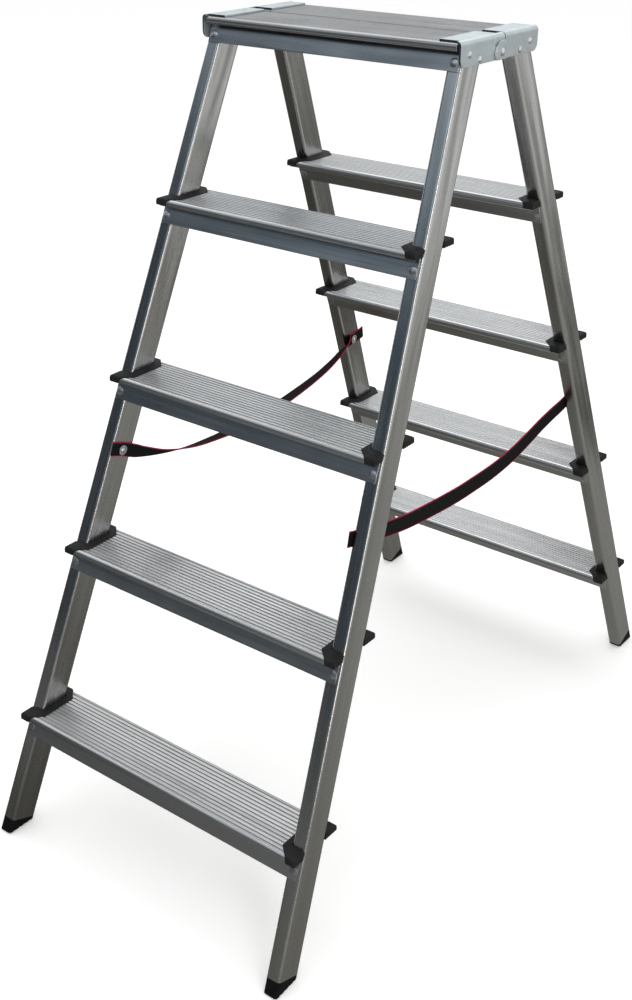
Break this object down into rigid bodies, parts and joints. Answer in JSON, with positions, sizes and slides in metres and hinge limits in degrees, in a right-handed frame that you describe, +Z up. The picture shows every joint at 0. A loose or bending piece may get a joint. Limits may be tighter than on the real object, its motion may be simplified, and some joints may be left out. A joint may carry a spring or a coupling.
{
  "type": "trestle ladder",
  "caption": "Folding aluminium trestle ladder with ribbed steps on both sides, a split platform on side hinge plates, plastic guards and feet, and webbing spreader straps.",
  "frame": {"origin": "on the floor, midway between the four feet, straight below the middle of the platform", "axes": "+Z up, +X along the steps to the right end seen from the front, +Y from the front frame to the rear frame"},
  "size_m": [0.4824, 0.9788, 1.0525],
  "materials": {
    "stile_aluminium": "extruded, satin, drawn lengthwise",
    "step_aluminium": "extruded, ribbed, satin",
    "zinc_plate": "zinc plated",
    "rivet_metal": "bright",
    "black_plastic": "matte",
    "webbing": "woven, red selvedges"
  },
  "bodies": {
    "front_frame": {"front_left_stile": "stile_aluminium", "front_right_stile": "stile_aluminium", "front_step_1": "step_aluminium", "front_step_2": "step_aluminium", "front_step_3": "step_aluminium", "front_step_4": "step_aluminium", "front_platform": "step_aluminium", "front_left_hinge_plate": "zinc_plate", "front_right_hinge_plate": "zinc_plate", "pivot_rivets": "rivet_metal", "front_left_foot": "black_plastic", "front_right_foot": "black_plastic", "front_left_guard_1": "black_plastic", "front_left_guard_2": "black_plastic", "front_left_guard_3": "black_plastic", "front_left_guard_4": "black_plastic", "front_right_guard_1": "black_plastic", "front_right_guard_2": "black_plastic", "front_right_guard_3": "black_plastic", "front_right_guard_4": "black_plastic", "front_step_rivets": "rivet_metal", "front_hinge_rivets": "rivet_metal", "front_strap_rivets": "rivet_metal", "front_strap_washers": "rivet_metal", "left_strap": "webbing", "right_strap": "webbing"},
    "rear_frame": {"rear_left_stile": "stile_aluminium", "rear_right_stile": "stile_aluminium", "rear_step_1": "step_aluminium", "rear_step_2": "step_aluminium", "rear_step_3": "step_aluminium", "rear_step_4": "step_aluminium", "rear_platform": "step_aluminium", "rear_left_hinge_plate": "zinc_plate", "rear_right_hinge_plate": "zinc_plate", "rear_left_foot": "black_plastic", "rear_right_foot": "black_plastic", "rear_left_guard_1": "black_plastic", "rear_left_guard_2": "black_plastic", "rear_left_guard_3": "black_plastic", "rear_left_guard_4": "black_plastic", "rear_right_guard_1": "black_plastic", "rear_right_guard_2": "black_plastic", "rear_right_guard_3": "black_plastic", "rear_right_guard_4": "black_plastic", "rear_step_rivets": "rivet_metal", "rear_hinge_rivets": "rivet_metal", "rear_strap_rivets": "rivet_metal", "rear_strap_washers": "rivet_metal"}
  },
  "joints": [
    {"name": "fold", "type": "hinge", "parent": "front_frame", "child": "rear_frame", "pos_m": [0, 0, 1.031], "axis": [-1, 0, 0], "range_deg": [0, 44.5], "deforming": ["left_strap", "right_strap"]}
  ]
}
